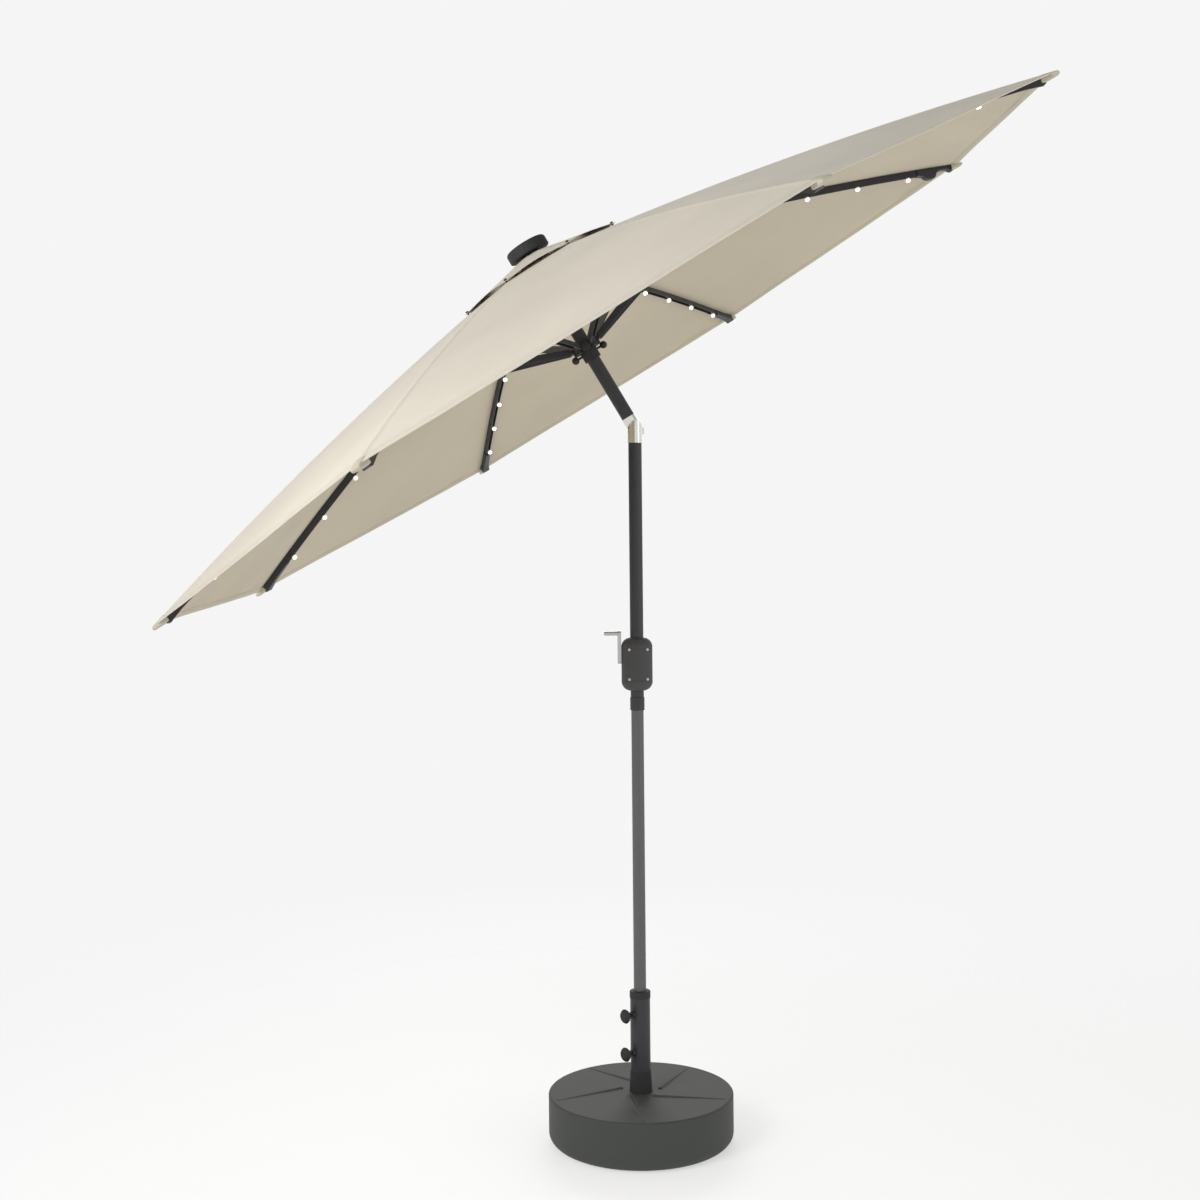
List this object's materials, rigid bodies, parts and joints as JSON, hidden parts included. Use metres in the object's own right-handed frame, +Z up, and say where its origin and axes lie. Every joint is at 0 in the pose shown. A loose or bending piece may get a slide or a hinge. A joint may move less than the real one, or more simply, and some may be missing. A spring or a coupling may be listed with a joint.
{
  "type": "patio umbrella with base",
  "caption": "Tilting market umbrella with crank lift, vented lit canopy and solar cap, standing in a round weighted base.",
  "frame": {"origin": "centre of the base's underside, on the floor and on the pole's axis", "axes": "+Z up the pole, the canopy leans towards -X, the tilt axis is parallel to Y"},
  "size_m": [2.2448, 2.6154, 2.7517],
  "materials": {
    "base_plastic": "dark grey moulded, fine texture",
    "concrete": "cast ballast fill, hidden",
    "coated_steel": "charcoal powder coat",
    "grey_steel": "mid grey powder coat",
    "black_plastic": "moulded",
    "housing_plastic": "moulded, satin",
    "polished_metal": "polished nickel",
    "zinc_steel": "zinc plated",
    "crank_metal": "silver grey cast",
    "canopy_fabric": "woven polyester, beige",
    "lamp": "warm white lamps on clear wire",
    "solar_glass": "dark solar cell under glass"
  },
  "bodies": {
    "base": {"base_shell": "base_plastic", "ballast": "concrete", "base_tube": "coated_steel", "tube_top_cap": "black_plastic", "tube_foot_collar": "black_plastic"},
    "thumb_screw_lower": {"thumb_screw_lower": "black_plastic"},
    "thumb_screw_upper": {"thumb_screw_upper": "black_plastic"},
    "pole": {"lower_pole": "grey_steel", "mid_pole": "coated_steel", "crank_housing_front": "housing_plastic", "crank_housing_rear": "housing_plastic", "housing_screws": "zinc_steel", "tilt_lower_joint": "polished_metal", "tilt_pin": "polished_metal"},
    "crank": {"crank_drum": "zinc_steel", "crank_arm": "crank_metal"},
    "crank_grip": {"crank_grip": "crank_metal"},
    "tilt_button": {"tilt_button": "polished_metal"},
    "mast": {"upper_pole": "coated_steel", "tilt_upper_joint": "polished_metal", "crown_hub": "black_plastic", "vent_canopy": "canopy_fabric", "vent_studs": "black_plastic", "solar_housing": "black_plastic", "solar_panel": "solar_glass"},
    "runner": {"runner_hub": "black_plastic", "runner_knobs": "black_plastic"},
    "rib_A": {"rib_A": "coated_steel", "led_string_A": "lamp", "canopy_sector_A": "canopy_fabric"},
    "strut_A": {"strut_A": "coated_steel"},
    "rib_B": {"rib_B": "coated_steel", "led_string_B": "lamp", "canopy_sector_B": "canopy_fabric"},
    "strut_B": {"strut_B": "coated_steel"},
    "rib_C": {"rib_C": "coated_steel", "led_string_C": "lamp", "canopy_sector_C": "canopy_fabric"},
    "strut_C": {"strut_C": "coated_steel"},
    "rib_D": {"rib_D": "coated_steel", "led_string_D": "lamp", "canopy_sector_D": "canopy_fabric"},
    "strut_D": {"strut_D": "coated_steel"},
    "rib_E": {"rib_E": "coated_steel", "led_string_E": "lamp", "canopy_sector_E": "canopy_fabric"},
    "strut_E": {"strut_E": "coated_steel"},
    "rib_F": {"rib_F": "coated_steel", "led_string_F": "lamp", "canopy_sector_F": "canopy_fabric"},
    "strut_F": {"strut_F": "coated_steel"},
    "rib_G": {"rib_G": "coated_steel", "led_string_G": "lamp", "canopy_sector_G": "canopy_fabric"},
    "strut_G": {"strut_G": "coated_steel"},
    "rib_H": {"rib_H": "coated_steel", "led_string_H": "lamp", "canopy_sector_H": "canopy_fabric"},
    "strut_H": {"strut_H": "coated_steel"}
  },
  "joints": [
    {"name": "pole_lift", "type": "slide", "parent": "base", "child": "pole", "axis": [0, 0, 1], "range_m": [0, 0.25]},
    {"name": "thumb_screw_lower_turn", "type": "hinge", "parent": "base", "child": "thumb_screw_lower", "pos_m": [0, 0, 0.238], "axis": [-0.848, -0.5299, 0], "range_deg": [0, 720]},
    {"name": "thumb_screw_upper_turn", "type": "hinge", "parent": "base", "child": "thumb_screw_upper", "pos_m": [0, 0, 0.341], "axis": [-0.848, -0.5299, 0], "range_deg": [0, 720]},
    {"name": "mast_tilt", "type": "hinge", "parent": "pole", "child": "mast", "pos_m": [0, 0, 1.925], "axis": [0, 1, 0], "range_deg": [0, 30.9]},
    {"name": "tilt_button_press", "type": "slide", "parent": "pole", "child": "tilt_button", "axis": [-1, 0, 0], "range_m": [0, 0.003], "stiffness_N_per_m": 600, "springref_m": -0.002},
    {"name": "runner_slide", "type": "slide", "parent": "mast", "child": "runner", "axis": [0.5135, 0, -0.8581], "range_m": [0, 0.09]},
    {"name": "rib_A_fold", "type": "hinge", "parent": "mast", "child": "rib_A", "pos_m": [-0.28548, -0.00745, 2.34542], "axis": [0.2131, -0.9687, 0.1275], "range_deg": [0, 6.71]},
    {"name": "strut_A_fold", "type": "hinge", "parent": "runner", "child": "strut_A", "pos_m": [-0.15454, -0.0072, 2.12852], "axis": [-0.2131, 0.9687, -0.1275], "range_deg": [0, 5.48]},
    {"name": "rib_B_fold", "type": "hinge", "parent": "mast", "child": "rib_B", "pos_m": [-0.2827, 0.01528, 2.34708], "axis": [-0.437, -0.8606, -0.2616], "range_deg": [0, 6.71]},
    {"name": "strut_B_fold", "type": "hinge", "parent": "runner", "child": "strut_B", "pos_m": [-0.15185, 0.01477, 2.13013], "axis": [0.437, 0.8606, 0.2616], "range_deg": [0, 5.48]},
    {"name": "rib_C_fold", "type": "hinge", "parent": "mast", "child": "rib_C", "pos_m": [-0.26694, 0.02906, 2.35652], "axis": [-0.8312, -0.2484, -0.4975], "range_deg": [0, 6.71]},
    {"name": "strut_C_fold", "type": "hinge", "parent": "runner", "child": "strut_C", "pos_m": [-0.13662, 0.02809, 2.13925], "axis": [0.8312, 0.2484, 0.4975], "range_deg": [0, 5.48]},
    {"name": "rib_D_fold", "type": "hinge", "parent": "mast", "child": "rib_D", "pos_m": [-0.24744, 0.02582, 2.36819], "axis": [-0.7384, 0.5093, -0.4419], "range_deg": [0, 6.71]},
    {"name": "strut_D_fold", "type": "hinge", "parent": "runner", "child": "strut_D", "pos_m": [-0.11776, 0.02496, 2.15053], "axis": [0.7384, -0.5093, 0.4419], "range_deg": [0, 5.48]},
    {"name": "rib_E_fold", "type": "hinge", "parent": "mast", "child": "rib_E", "pos_m": [-0.23561, 0.00745, 2.37527], "axis": [-0.2131, 0.9687, -0.1275], "range_deg": [0, 6.71]},
    {"name": "strut_E_fold", "type": "hinge", "parent": "runner", "child": "strut_E", "pos_m": [-0.10633, 0.0072, 2.15738], "axis": [0.2131, -0.9687, 0.1275], "range_deg": [0, 5.48]},
    {"name": "rib_F_fold", "type": "hinge", "parent": "mast", "child": "rib_F", "pos_m": [-0.23839, -0.01528, 2.3736], "axis": [0.437, 0.8606, 0.2616], "range_deg": [0, 6.71]},
    {"name": "strut_F_fold", "type": "hinge", "parent": "runner", "child": "strut_F", "pos_m": [-0.10902, -0.01477, 2.15577], "axis": [-0.437, -0.8606, -0.2616], "range_deg": [0, 5.48]},
    {"name": "rib_G_fold", "type": "hinge", "parent": "mast", "child": "rib_G", "pos_m": [-0.25415, -0.02906, 2.36417], "axis": [0.8312, 0.2484, 0.4975], "range_deg": [0, 6.71]},
    {"name": "strut_G_fold", "type": "hinge", "parent": "runner", "child": "strut_G", "pos_m": [-0.12426, -0.02809, 2.14665], "axis": [-0.8312, -0.2484, -0.4975], "range_deg": [0, 5.48]},
    {"name": "rib_H_fold", "type": "hinge", "parent": "mast", "child": "rib_H", "pos_m": [-0.27366, -0.02582, 2.3525], "axis": [0.7384, -0.5093, 0.4419], "range_deg": [0, 6.71]},
    {"name": "strut_H_fold", "type": "hinge", "parent": "runner", "child": "strut_H", "pos_m": [-0.14311, -0.02496, 2.13536], "axis": [-0.7384, 0.5093, -0.4419], "range_deg": [0, 5.48]},
    {"name": "crank_turn", "type": "hinge", "parent": "pole", "child": "crank", "pos_m": [0, 0, 1.304], "axis": [-1, 0, 0], "range_deg": [0, 430.7]},
    {"name": "crank_grip_spin", "type": "hinge", "parent": "crank", "child": "crank_grip", "pos_m": [-0.069, 0, 1.3705], "axis": [-1, 0, 0], "continuous": true}
  ],
  "couplings": [
    {"joint": "rib_A_fold", "follows": "runner_slide", "rad_per_m": 1.2623},
    {"joint": "strut_A_fold", "follows": "runner_slide", "rad_per_m": 1.0237},
    {"joint": "rib_B_fold", "follows": "runner_slide", "rad_per_m": 1.2623},
    {"joint": "strut_B_fold", "follows": "runner_slide", "rad_per_m": 1.0237},
    {"joint": "rib_C_fold", "follows": "runner_slide", "rad_per_m": 1.2623},
    {"joint": "strut_C_fold", "follows": "runner_slide", "rad_per_m": 1.0237},
    {"joint": "rib_D_fold", "follows": "runner_slide", "rad_per_m": 1.2623},
    {"joint": "strut_D_fold", "follows": "runner_slide", "rad_per_m": 1.0237},
    {"joint": "rib_E_fold", "follows": "runner_slide", "rad_per_m": 1.2623},
    {"joint": "strut_E_fold", "follows": "runner_slide", "rad_per_m": 1.0237},
    {"joint": "rib_F_fold", "follows": "runner_slide", "rad_per_m": 1.2623},
    {"joint": "strut_F_fold", "follows": "runner_slide", "rad_per_m": 1.0237},
    {"joint": "rib_G_fold", "follows": "runner_slide", "rad_per_m": 1.2623},
    {"joint": "strut_G_fold", "follows": "runner_slide", "rad_per_m": 1.0237},
    {"joint": "rib_H_fold", "follows": "runner_slide", "rad_per_m": 1.2623},
    {"joint": "strut_H_fold", "follows": "runner_slide", "rad_per_m": 1.0237},
    {"joint": "crank_turn", "follows": "runner_slide", "rad_per_m": 83.333}
  ]
}
